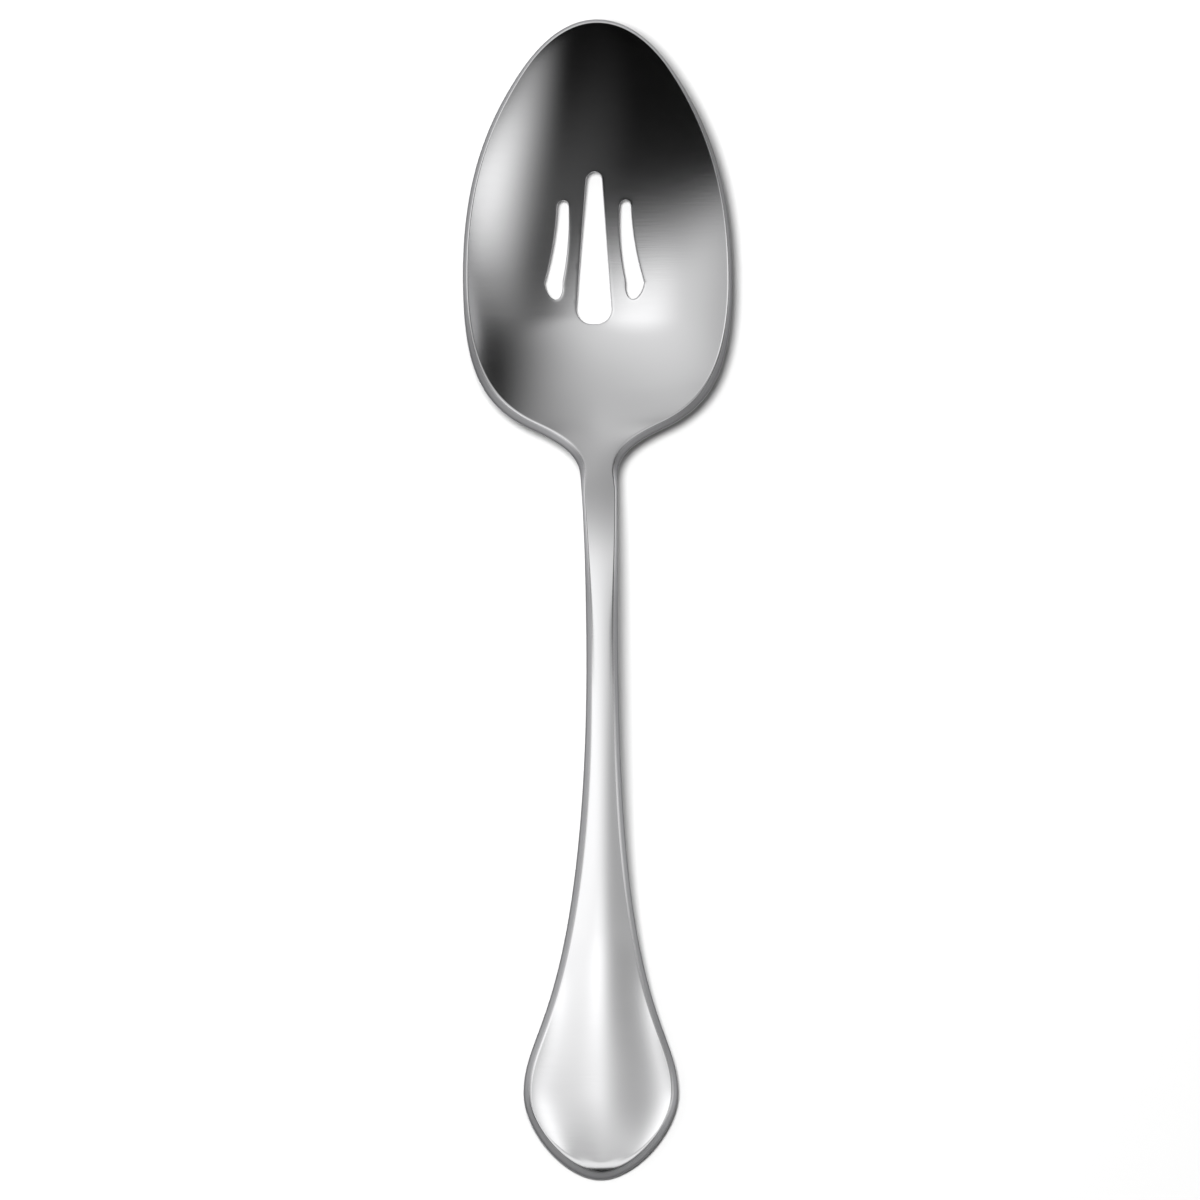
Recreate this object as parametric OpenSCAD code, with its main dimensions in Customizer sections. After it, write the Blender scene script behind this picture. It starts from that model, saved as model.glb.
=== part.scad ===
// Slotted serving spoon: one blank of stainless steel, rolled, pierced, pressed to a bowl and polished.
// Lengths are in millimetres. The spoon lies bowl up, its length along Y with the tip of the bowl
// towards +Y. The origin is under the middle of its length, on the surface that it rests on.

/* [Bowl] */
// Length of the bowl, from its tip to where the neck begins
bowl_length = 84.8; // [70:0.1:110]
// Greatest width of the bowl
bowl_width = 50.2; // [40:0.1:64]
// Distance of the widest place from the tip
bowl_widest_at = 48.2; // [42:0.1:54]
// Distance of the deepest place from the tip
bowl_deepest_at = 55; // [50:0.1:60]
// Depth of the hollow at its deepest place, below the rim at the sides
bowl_depth = 10.2; // [6:0.1:16]
// How much higher the rim is at the tip than at the sides
tip_rise = 3.0; // [0:0.1:4]
// How much lower the rim is where it runs into the neck than at the sides
heel_fall = 1.65; // [1:0.05:2.6]
// Height of the middle of the top face on the two flanks of the heel
heel_height = 8.0; // [7:0.1:9]
// Thickness of the metal at the bottom of the bowl
bowl_wall = 1.8; // [1.2:0.05:2.6]
// Thickness of the metal at the tip of the bowl
tip_wall = 1.35; // [1:0.05:2]
// Thickness of the metal where the hollow ends, in front of the neck
heel_wall = 2.7; // [2:0.05:3.6]

/* [Slots] */
// Length of the middle slot
middle_slot_length = 28.3; // [16:0.1:36]
// Distance of the middle slot's narrow end from the tip
middle_slot_from_tip = 28.4; // [24:0.1:36]
// Width of the middle slot at its narrow, round end
middle_slot_narrow = 3.0; // [2:0.1:4]
// Width of the middle slot at its wide end
middle_slot_wide = 6.6; // [5.8:0.1:8]
// Corner radius at the wide end of the middle slot
middle_slot_corner = 2.8; // [1:0.1:2.9]
// Length of the two side slots
side_slot_length = 18.4; // [12:0.1:24]
// Distance of the side slots' narrow ends from the tip
side_slot_from_tip = 33.7; // [28:0.1:42]
// Width of the side slots at their narrow ends
side_slot_narrow = 2.15; // [1.6:0.05:2.8]
// Width of the side slots where they are widest
side_slot_wide = 3.4; // [2.4:0.05:4]
// Length of a side slot's pointed round end, beyond its widest place
side_slot_point = 3.1; // [1.2:0.1:3.6]
// How far the point leans towards the middle line
side_slot_lean = 0.4; // [0:0.1:0.8]
// Distance of a side slot's narrow end from the middle line
side_slot_offset = 5.8; // [4.8:0.1:9]
// How much further from the middle line its wide end is
side_slot_flare = 1.8; // [0:0.1:4]

/* [Neck and handle] */
// Length from the beginning of the neck to the end of the handle
handle_length = 131.2; // [110:0.1:170]
// Width of the neck where it leaves the bowl
neck_root_width = 6.9; // [5.5:0.05:9]
// Width of the neck at its narrowest
neck_width = 5.9; // [4.5:0.05:8]
// Distance of the narrowest place from the beginning of the neck
neck_narrow_at = 30.7; // [22:0.1:40]
// Thickness of the neck
neck_thickness = 3.8; // [3:0.05:5]
// Height of the handle's arch above the table, at its top face
arch_height = 18.3; // [15:0.1:22]
// Distance of the top of the arch from the beginning of the neck
arch_at = 36; // [30:0.1:48]
// Height of the middle of the top face above the table where the neck begins
neck_root_height = 12.4; // [10:0.1:14]
// Width of the broad end of the handle
pad_width = 28.8; // [20:0.1:36]
// Distance of its widest place from the end of the handle
pad_widest_from_end = 16.2; // [12:0.1:22]
// Thickness of the broad end
pad_thickness = 2.7; // [2:0.05:3.4]
// Thickness at the very end of the handle
end_thickness = 2.5; // [1.8:0.05:3]
// Height of the crowned top face above its edges, where the neck begins
root_crown = 0.15; // [0.1:0.05:0.5]
// Height of the crowned top face above its edges, on the neck
neck_crown = 0.45; // [0.2:0.05:0.8]
// Height of the ridge above the edges, where the stem widens
stem_crown = 0.95; // [0.4:0.05:1.2]
// Height of the ridge above the edges, on the broad end
pad_crown = 0.8; // [0.4:0.05:1.2]
// How deep the two flanks beside the ridge are dished, on the broad end
pad_dish = 0.4; // [0:0.05:0.5]
// Radius of the rounded ridge along the handle
ridge_radius = 2.6; // [1:0.1:5]

/* [Edges] */
// Width of the edge face round the tip of the bowl, seen from above
tip_edge_width = 0.45; // [0.4:0.05:1]
// Width of the edge face along the sides of the bowl, seen from above
bowl_edge_width = 0.75; // [0.4:0.05:1]
// Width of the edge face on the two flanks of the heel
heel_edge_width = 1.65; // [1:0.05:2]
// Width of the edge face on the neck
neck_edge_width = 0.5; // [0.3:0.05:0.8]
// Width of the bevel along the handle
handle_bevel_width = 1.1; // [0.6:0.05:1.5]
// Width of the bevel at the widest part of the handle
pad_bevel_width = 1.25; // [0.8:0.05:1.8]
// Width of the bevel round the end of the handle
end_bevel_width = 1.7; // [1:0.05:2.2]
// Drop of the edge face along the sides of the bowl
bowl_edge_drop = 0.95; // [0.5:0.05:1.3]
// Drop of the edge face on the flanks of the heel
heel_edge_drop = 1.5; // [0.8:0.05:1.8]
// Drop of the bevel along the handle
handle_bevel_drop = 1.35; // [0.8:0.05:1.6]

/* [Hidden] */

length = bowl_length + handle_length;
bowl_half = bowl_width / 2;
root_half = neck_root_width / 2;
neck_half = neck_width / 2;
pad_half = pad_width / 2;
rim_height = bowl_wall + bowl_depth;
narrow_at = bowl_length + neck_narrow_at;
crest_at = bowl_length + arch_at;
pad_at = length - pad_widest_from_end;
overrun = 1;

// Half outlines, as [share of the half width, share of the length] of each stretch, three points to
// a curve: tip to widest place, widest place to neck, neck, stem, and round the end of the handle
tip_shares = [[0, 0], [0.30, 0], [0.50, 0.145], [0.604, 0.229], [0.864, 0.439], [1, 0.67], [1, 1]];
heel_shares = [[1, 0], [1, 0.44], [0.86, 0.646], [0.407, 0.768], [0.165, 0.834], [0.011, 0.895], [0, 1]];
neck_shares = [[1, 0], [0.5, 0.13], [0, 0.55], [0, 1]];
stem_shares = [[0, 0], [0, 0.835], [1, 0.847], [1, 1]];
end_shares = [[1, 0], [1, 0.444], [0.449, 1], [0, 1]];

// Steps along each curve, and from the middle line to the edge
tip_steps = 11;
heel_steps = 13;
neck_steps = 8;
stem_steps = 16;
end_steps = 16;
side_steps = 9;
// The outline starts and stops this share of a curve short of its pole, where a small cap closes it
pole_share = 0.03;

function curve(p, t) =
    pow(1 - t, 3) * p[0] + 3 * pow(1 - t, 2) * t * p[1] + 3 * (1 - t) * pow(t, 2) * p[2] + pow(t, 3) * p[3];
function heading(p, t) =
    let (d = pow(1 - t, 2) * (p[1] - p[0]) + 2 * (1 - t) * t * (p[2] - p[1]) + pow(t, 2) * (p[3] - p[2]))
    d / norm(d);
function placed(shares, near, far, from, to) =
    [for (s = shares) [near + (far - near) * s[0], from + (to - from) * s[1]]];
function piece(points, number) = [for (i = [0:3]) points[3 * number + i]];

tip_points = placed(tip_shares, 0, bowl_half, 0, bowl_widest_at);
heel_points = placed(heel_shares, root_half, bowl_half, bowl_widest_at, bowl_length);
neck_points = placed(neck_shares, neck_half, root_half, bowl_length, narrow_at);
stem_points = placed(stem_shares, neck_half, pad_half, narrow_at, pad_at);
end_points = placed(end_shares, 0, pad_half, pad_at, length);

// Every stretch of the outline: its curve, its steps, and where it starts and stops on the curve
stretches = [
    [piece(tip_points, 0), tip_steps, pole_share, 1],
    [piece(tip_points, 1), tip_steps, 0, 1],
    [piece(heel_points, 0), heel_steps, 0, 1],
    [piece(heel_points, 1), heel_steps, 0, 1],
    [neck_points, neck_steps, 0, 1],
    [stem_points, stem_steps, 0, 1],
    [end_points, end_steps, 0, 1 - pole_share]
];

// A smooth course through knots of [distance from the tip, value, slope]
function stretch_of(knots, at, i = 0) =
    (i + 2 >= len(knots) || at < knots[i + 1][0]) ? i : stretch_of(knots, at, i + 1);
function hermite(a, b, t) =
    let (run = b[0] - a[0])
    a[1] * (1 + 2 * t) * pow(1 - t, 2) + a[2] * run * t * pow(1 - t, 2)
    + b[1] * pow(t, 2) * (3 - 2 * t) + b[2] * run * pow(t, 2) * (t - 1);
function course(knots, at) =
    let (i = stretch_of(knots, at), a = knots[i], b = knots[i + 1])
    hermite(a, b, min(1, max(0, (at - a[0]) / (b[0] - a[0]))));

// Places between the widest part of the bowl and the neck, and between the neck and the pad
heel_turn_share = 0.55;
heel_flank_share = 0.72;
heel_end_share = 0.86;
stem_spread_share = 0.66;
neck_set_share = 0.125;
function part_way(from, to, share) = from + (to - from) * share;
heel_turn_at = part_way(bowl_widest_at, bowl_length, heel_turn_share);
heel_flank_at = part_way(bowl_widest_at, bowl_length, heel_flank_share);
heel_end_at = part_way(bowl_widest_at, bowl_length, heel_end_share);
neck_set_at = part_way(bowl_length, narrow_at, neck_set_share);
stem_spread_at = part_way(narrow_at, pad_at, stem_spread_share);

// Middle line of the top face: down into the hollow, up the heel, over the arch and down to the end
tip_slope = -0.46;
heel_slope = 0.44;
root_slope = 0.42;
bend_slope = 0.15;
fall_slope = -0.19;
pad_slope = -0.155;
end_slope = -0.17;
bend_at_share = 0.42;
bend_height_share = 0.8;
fall_at_share = 0.62;
fall_height_share = 0.53;
pad_height_share = 0.165;
middle_knots = [
    [0, rim_height + tip_rise, tip_slope],
    [bowl_deepest_at, bowl_wall, 0],
    [heel_flank_at, heel_height, heel_slope],
    [bowl_length, neck_root_height, root_slope],
    [bowl_length + arch_at * bend_at_share, part_way(neck_root_height, arch_height, bend_height_share), bend_slope],
    [crest_at, arch_height, 0],
    [part_way(crest_at, pad_at, fall_at_share), part_way(end_thickness, arch_height, fall_height_share), fall_slope],
    [pad_at, part_way(end_thickness, arch_height, pad_height_share), pad_slope],
    [length, end_thickness, end_slope]
];
function middle_height(at) = course(middle_knots, at);

// Height of the crease between the top face and the edge face: the rim of the bowl, then the sides
// of the crowned handle
end_crown_share = 0.4;
turn_fall_share = 0.62;
turn_slope = -0.06;
heel_end_slope = 0.25;
crown_knots = [
    [bowl_length, root_crown, 0],
    [narrow_at, neck_crown, 0],
    [stem_spread_at, stem_crown, 0],
    [pad_at, pad_crown, 0],
    [length, pad_crown * end_crown_share, 0]
];
rim_knots = [
    [0, rim_height + tip_rise, -tip_rise / bowl_widest_at],
    [bowl_widest_at, rim_height, 0],
    [heel_turn_at, rim_height - heel_fall * turn_fall_share, turn_slope],
    [heel_end_at, rim_height - heel_fall, heel_end_slope],
    [bowl_length, neck_root_height - root_crown, root_slope]
];
function crease_height(at) =
    at < bowl_length ? course(rim_knots, at) : middle_height(at) - course(crown_knots, at);

// Thickness of the metal along the middle line
thickening = (neck_thickness - heel_wall) / (neck_set_at - heel_end_at);
thickness_knots = [
    [0, tip_wall, 0],
    [bowl_deepest_at, bowl_wall, 0],
    [heel_end_at, heel_wall, thickening],
    [neck_set_at, neck_thickness, 0],
    [narrow_at, neck_thickness, 0],
    [pad_at, pad_thickness, 0],
    [length, end_thickness, 0]
];
function thickness(at) = course(thickness_knots, at);

// Width and drop of the edge face
edge_width_knots = [
    [0, tip_edge_width, 0],
    [bowl_widest_at / 2, bowl_edge_width, 0],
    [bowl_widest_at, bowl_edge_width, 0],
    [heel_flank_at, heel_edge_width, 0],
    [heel_end_at, heel_edge_width, 0],
    [neck_set_at, neck_edge_width, 0],
    [narrow_at, handle_bevel_width, 0],
    [pad_at, pad_bevel_width, 0],
    [length, end_bevel_width, 0]
];
edge_drop_knots = [
    [0, bowl_edge_drop, 0],
    [bowl_widest_at, bowl_edge_drop, 0],
    [heel_flank_at, heel_edge_drop, 0],
    [neck_set_at, heel_edge_drop, 0],
    [narrow_at, handle_bevel_drop, 0],
    [length, handle_bevel_drop, 0]
];
function edge_width(at) = course(edge_width_knots, at);
function edge_drop(at) = course(edge_drop_knots, at);

// How far a section has gone over from the bowl's form, 0, to the handle's, 1
form_knots = [
    [0, 0, 0],
    [heel_turn_at, 0, 0],
    [bowl_length, 1, 0],
    [length, 1, 0]
];
function handle_form(at) = course(form_knots, at);

dish_knots = [
    [0, 0, 0],
    [stem_spread_at, 0, 0],
    [pad_at, pad_dish, 0],
    [length, 0, 0]
];

// Form of a section's top from the middle line, 0, to the crease, 1
bowl_round_share = 0.8;
function bowl_form(k) = bowl_round_share * pow(k, 2) + (1 - bowl_round_share) * pow(k, 4);
function ridge_form(k, r) = (norm([k, r]) - r) / (norm([1, r]) - r);
function flank_form(k) = 4 * pow(k, 2) * (1 - pow(k, 2));
function top_height(k, half, at) =
    let (m = handle_form(at), c = middle_height(at), e = crease_height(at))
    c + (e - c) * ((1 - m) * bowl_form(k) + m * ridge_form(k, ridge_radius / half))
    - course(dish_knots, at) * flank_form(k);

// Form of a section's underside: parallel to the hollow in the bowl, flat with round edges on the handle
edge_power = 3.4;
function foot_form(k) = 1 - pow(max(0, 1 - pow(k, edge_power)), 1 / edge_power);
function under_height(k, at) =
    let (m = handle_form(at), c = middle_height(at) - thickness(at), e = crease_height(at) - edge_drop(at))
    c + (e - c) * ((1 - m) * bowl_form(k) + m * foot_form(k));

// Near a pole the crease keeps at least this share of the outline's width
least_crease_share = 0.4;

// One section: the top from the left crease to the right one, then the underside back
function station(stretch, number) =
    let (
        t = stretch[2] + (stretch[3] - stretch[2]) * number / stretch[1],
        p = curve(stretch[0], t),
        d = heading(stretch[0], t),
        w = edge_width(p[1]),
        crease = [max(p[0] * least_crease_share, p[0] - w * d[1]), p[1] + w * d[0]]
    )
    concat(
        [for (j = [-side_steps:side_steps])
            let (k = sin(90 * j / side_steps))
            [k * crease[0], length / 2 - crease[1], top_height(abs(k), crease[0], crease[1])]],
        [for (j = [side_steps:-1:-side_steps])
            let (k = sin(90 * j / side_steps))
            [k * p[0], length / 2 - p[1], under_height(abs(k), p[1])]]
    );

sections = [for (s = stretches) for (i = [0:s[1] - (s[3] == 1 ? 1 : 0)]) station(s, i)];
ring = len(sections[0]);
rings = len(sections);

function mean(points) = [for (axis = [0:2]) [for (p = points) p[axis]] * [for (p = points) 1 / len(points)]];

module blank() {
    points = concat([for (s = sections) each s], [mean(sections[0]), mean(sections[rings - 1])]);
    tip_pole = rings * ring;
    end_pole = tip_pole + 1;
    last = (rings - 1) * ring;
    walls = [for (i = [0:rings - 2]) for (j = [0:ring - 1])
        let (a = i * ring + j, b = i * ring + (j + 1) % ring, c = b + ring, d = a + ring)
        each [[a, d, c], [a, c, b]]];
    tip_cap = [for (j = [0:ring - 1]) [j, (j + 1) % ring, tip_pole]];
    end_cap = [for (j = [0:ring - 1]) [last + (j + 1) % ring, last + j, end_pole]];
    polyhedron(points = points, faces = concat(walls, tip_cap, end_cap), convexity = 6);
}

// The middle slot has a round narrow end, straight sides that widen, and a wide end with round corners
slot_steps = 8;
function arc(centre, radius, from, to) =
    [for (i = [0:slot_steps]) let (a = from + (to - from) * i / slot_steps)
        centre + radius * [cos(a), sin(a)]];

module middle_slot() {
    y_top = length / 2 - middle_slot_from_tip;
    y_end = y_top - middle_slot_length;
    narrow = middle_slot_narrow / 2;
    wide = middle_slot_wide / 2;
    r = middle_slot_corner;
    polygon(concat(
        arc([0, y_top - narrow], narrow, 0, 180),
        arc([-(wide - r), y_end + r], r, 180, 270),
        arc([wide - r, y_end + r], r, 270, 360)
    ));
}

// A side slot bends away from the middle line as it widens, and ends in a blunt point that leans back
module side_slot(side) {
    y_top = length / 2 - side_slot_from_tip;
    narrow = side_slot_narrow / 2;
    wide = side_slot_wide / 2;
    run = side_slot_length - narrow - side_slot_point;
    function lane(t) = [side * (side_slot_offset + side_slot_flare * pow(t, 2)), y_top - narrow - run * t];
    function breadth(t) = narrow + (wide - narrow) * t;
    left = [for (i = [0:slot_steps]) let (t = i / slot_steps) lane(t) - [breadth(t), 0]];
    right = [for (i = [slot_steps:-1:0]) let (t = i / slot_steps) lane(t) + [breadth(t), 0]];
    point = [for (i = [0:2 * slot_steps]) let (a = 180 + 180 * i / (2 * slot_steps))
        lane(1) + [wide * cos(a) + side * side_slot_lean * sin(a), side_slot_point * sin(a)]];
    polygon(concat(
        arc(lane(0), narrow, 0, 180),
        [for (i = [1:slot_steps - 1]) left[i]],
        point,
        [for (i = [1:slot_steps - 1]) right[i]]
    ));
}

module spoon() {
    tall = rim_height + tip_rise;
    color("silver") difference() {
        blank();
        translate([0, 0, -overrun]) linear_extrude(tall + 2 * overrun) {
            middle_slot();
            side_slot(-1);
            side_slot(1);
        }
    }
}

spoon();
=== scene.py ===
# Slotted serving spoon: the looks of one blank of polished stainless steel, and the studio it lies in.
import bisect
import math

import bmesh
import bpy
from bpy.props import FloatProperty, FloatVectorProperty, PointerProperty
from bpy.types import Operator, Panel, PropertyGroup
from mathutils import Euler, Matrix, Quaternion, Vector


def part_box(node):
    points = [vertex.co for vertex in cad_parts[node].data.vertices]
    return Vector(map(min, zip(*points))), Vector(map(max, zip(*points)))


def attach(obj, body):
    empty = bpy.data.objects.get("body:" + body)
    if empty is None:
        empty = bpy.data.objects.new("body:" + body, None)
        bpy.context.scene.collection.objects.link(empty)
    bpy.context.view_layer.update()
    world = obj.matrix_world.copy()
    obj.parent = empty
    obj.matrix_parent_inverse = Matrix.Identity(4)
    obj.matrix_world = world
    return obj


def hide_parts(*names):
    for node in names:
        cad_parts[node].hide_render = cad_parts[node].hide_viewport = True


bl_info = {
    "name": "Slotted serving spoon",
    "version": (1, 0, 0),
    "blender": (4, 5, 0),
    "location": "3D View > Sidebar > Spoon",
    "description": "Models a slotted serving spoon of polished steel and the studio it is shown in",
    "category": "Add Mesh",
}

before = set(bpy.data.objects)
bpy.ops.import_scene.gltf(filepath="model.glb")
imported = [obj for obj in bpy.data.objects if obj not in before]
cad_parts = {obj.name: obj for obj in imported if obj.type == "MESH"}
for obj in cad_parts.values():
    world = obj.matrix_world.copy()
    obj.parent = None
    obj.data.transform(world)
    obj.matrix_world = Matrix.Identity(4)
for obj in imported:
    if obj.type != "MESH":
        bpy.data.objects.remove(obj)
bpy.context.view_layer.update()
NODE = "spoon"
BODY = "root"
NODE_LOW, NODE_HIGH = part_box(NODE)
SPOON_WIDTH = NODE_HIGH[0] - NODE_LOW[0]
SPOON_HEIGHT = NODE_HIGH[2] - NODE_LOW[2]
MM = 0.001
TINY = 1e-9


def size(name, description, millimetres):
    """A length that a user may change, given in millimetres."""
    return FloatProperty(
        name=name, description=description, default=millimetres * MM, unit="LENGTH", precision=5
    )


def colour(name, description, code):
    """A colour that a user may change, given as sRGB hex and kept linear."""
    return FloatVectorProperty(
        name=name, description=description, default=linear(code), subtype="COLOR", size=4, min=0, max=1
    )


def linear(code):
    """sRGB hex to a linear RGBA colour."""
    shares = [int(code[i:i + 2], 16) / 255 for i in (0, 2, 4)]
    return tuple(s / 12.92 if s <= 0.04045 else ((s + 0.055) / 1.055) ** 2.4 for s in shares) + (1.0,)


class BowlSizes(PropertyGroup):
    """Sizes of the bowl and its slots."""

    length: size("Length", "From the tip of the bowl to where the neck begins", 84.8)
    width: size("Width", "Greatest width of the bowl", SPOON_WIDTH / MM)
    widest_at: size("Widest at", "Distance of the widest place from the tip", 48.2)
    deepest_at: size("Deepest at", "Distance of the deepest place from the tip", 55.0)
    depth: size("Depth", "Depth of the hollow below the rim at the sides", 10.2)
    tip_rise: size("Tip rise", "How much higher the rim is at the tip than at the sides", 3.0)
    heel_fall: size("Heel fall", "How much lower the rim is where it runs into the neck", 1.65)
    heel_height: size("Heel height", "Height of the top face on the flanks of the heel", 8.0)
    wall: size("Wall", "Thickness of the metal at the bottom of the bowl", 1.8)
    tip_wall: size("Tip wall", "Thickness of the metal at the tip of the bowl", 1.35)
    heel_wall: size("Heel wall", "Thickness of the metal where the hollow ends", 2.7)
    edge_width: size("Edge width", "Width of the edge face along the sides of the bowl", 0.75)
    tip_edge_width: size("Tip edge width", "Width of the edge face round the tip of the bowl", 0.45)
    edge_drop: size("Edge drop", "Drop of the edge face along the sides of the bowl", 0.95)
    heel_edge_width: size("Heel edge width", "Width of the edge face on the flanks of the heel", 1.65)
    heel_edge_drop: size("Heel edge drop", "Drop of the edge face on the flanks of the heel", 1.5)


class SlotSizes(PropertyGroup):
    """Sizes of the middle slot and of the two side slots."""

    middle_length: size("Middle length", "Length of the middle slot", 28.3)
    middle_from_tip: size("Middle from tip", "Distance of its narrow end from the tip", 28.4)
    middle_narrow: size("Middle narrow", "Width at its narrow, round end", 3.0)
    middle_wide: size("Middle wide", "Width at its wide end", 6.6)
    middle_corner: size("Middle corner", "Corner radius at its wide end", 2.8)
    side_length: size("Side length", "Length of the side slots", 18.4)
    side_from_tip: size("Side from tip", "Distance of their narrow ends from the tip", 33.7)
    side_narrow: size("Side narrow", "Width at their narrow ends", 2.15)
    side_wide: size("Side wide", "Width where they are widest", 3.4)
    side_point: size("Side point", "Length of their pointed round ends, beyond the widest place", 3.1)
    side_lean: size("Side lean", "How far the points lean towards the middle line", 0.4)
    side_offset: size("Side offset", "Distance of their narrow ends from the middle line", 5.8)
    side_flare: size("Side flare", "How much further from the middle line their wide ends are", 1.8)
    rolled_edge: size("Rolled edge", "Radius of the polished edge round each slot", 0.32)


class HandleSizes(PropertyGroup):
    """Sizes of the neck and the handle."""

    length: size("Length", "From the beginning of the neck to the end of the handle", 131.2)
    root_width: size("Root width", "Width of the neck where it leaves the bowl", 6.9)
    neck_width: size("Neck width", "Width of the neck at its narrowest", 5.9)
    narrow_at: size("Narrowest at", "Distance of the narrowest place from the neck's beginning", 30.7)
    neck_thickness: size("Neck thickness", "Thickness of the neck", 3.8)
    arch_height: size("Arch height", "Height of the arch at its top face", SPOON_HEIGHT / MM)
    arch_at: size("Arch at", "Distance of the top of the arch from the beginning of the neck", 36.0)
    root_height: size("Root height", "Height of the top face where the neck begins", 12.4)
    pad_width: size("Pad width", "Width of the broad end", 28.8)
    pad_from_end: size("Pad from end", "Distance of its widest place from the end", 16.2)
    pad_thickness: size("Pad thickness", "Thickness of the broad end", 2.7)
    end_thickness: size("End thickness", "Thickness at the very end", 2.5)
    root_crown: size("Root crown", "Height of the top face above its edges, where the neck begins", 0.15)
    neck_crown: size("Neck crown", "Height of the top face above its edges, on the neck", 0.45)
    stem_crown: size("Stem crown", "Height of the ridge above the edges, where the stem widens", 0.95)
    pad_crown: size("Pad crown", "Height of the ridge above the edges, on the broad end", 0.8)
    pad_dish: size("Pad dish", "How deep the flanks beside the ridge are dished", 0.4)
    ridge_radius: size("Ridge radius", "Radius of the rounded ridge", 2.6)
    neck_edge_width: size("Neck edge width", "Width of the edge face on the neck", 0.5)
    bevel_width: size("Bevel width", "Width of the bevel along the handle", 1.1)
    pad_bevel_width: size("Pad bevel width", "Width of the bevel at the widest part", 1.25)
    end_bevel_width: size("End bevel width", "Width of the bevel round the end", 1.7)
    bevel_drop: size("Bevel drop", "Drop of the bevel along the handle", 1.35)


class SteelLooks(PropertyGroup):
    """Finish of the polished steel."""

    steel: colour("Steel", "Colour of polished stainless steel", "DADADB")
    roughness: FloatProperty(
        name="Roughness", description="Blur of the polish", default=0.19, min=0, max=1
    )
    # Darker colour of the edge face and the slot walls: partly the ground finish, partly painted shade
    ground_edge_and_shade: colour("Ground edge", "Colour of the ground edge", "B4B4B6")
    # Painted shade: makes the foot of the edge face and the middle of the slot walls darker still
    painted_edge_shade: colour("Edge foot", "Colour of the foot of the ground edge", "7C7C7E")
    edge_roughness: FloatProperty(
        name="Edge roughness", description="Blur of the ground edge", default=0.50, min=0, max=1
    )
    line_width: size("Line width", "Width of the finest polishing lines", 0.22)
    line_length: size("Line length", "Length of the polishing lines", 7.0)


class StudioLooks(PropertyGroup):
    """Table, camera and lamp."""

    table: colour("Table", "Colour of the grey board, which the lamp turns white", "B4B4B4")
    pixel: size("Pixel", "Size on the table of one of the photograph's pixels", 0.1862)
    lamp_power: FloatProperty(
        name="Lamp power", description="Power of the shadow lamp", default=24.0, subtype="POWER"
    )


# Half outlines, as (share of the half width, share of the length) of each stretch, three points to a
# curve: tip to widest place, widest place to neck, neck, stem, and round the end of the handle
TIP_SHARES = ((0, 0), (0.30, 0), (0.50, 0.145), (0.604, 0.229), (0.864, 0.439), (1, 0.67), (1, 1))
HEEL_SHARES = ((1, 0), (1, 0.44), (0.86, 0.646), (0.407, 0.768), (0.165, 0.834), (0.011, 0.895), (0, 1))
NECK_SHARES = ((1, 0), (0.5, 0.13), (0, 0.55), (0, 1))
STEM_SHARES = ((0, 0), (0, 0.835), (1, 0.847), (1, 1))
END_SHARES = ((1, 0), (1, 0.444), (0.449, 1), (0, 1))


def part_way(start, stop, share):
    """The value that lies a share of the way from start to stop."""
    return start + (stop - start) * share


def curve(p, t):
    """Point of a cubic curve through four handles."""
    return (1 - t) ** 3 * p[0] + 3 * (1 - t) ** 2 * t * p[1] + 3 * (1 - t) * t ** 2 * p[2] + t ** 3 * p[3]


def heading(p, t):
    """Direction of a cubic curve."""
    d = (1 - t) ** 2 * (p[1] - p[0]) + 2 * (1 - t) * t * (p[2] - p[1]) + t ** 2 * (p[3] - p[2])
    return d.normalized()


def course(knots, at):
    """Smooth course through knots of (distance from the tip, value, slope)."""
    i = min(max(bisect.bisect_right(knots, at, key=lambda knot: knot[0]) - 1, 0), len(knots) - 2)
    (near, low, rise), (far, high, fall) = knots[i], knots[i + 1]
    run = far - near
    t = min(1.0, max(0.0, (at - near) / run))
    return (
        low * (1 + 2 * t) * (1 - t) ** 2 + rise * run * t * (1 - t) ** 2
        + high * t * t * (3 - 2 * t) + fall * run * t * t * (t - 1)
    )


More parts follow.
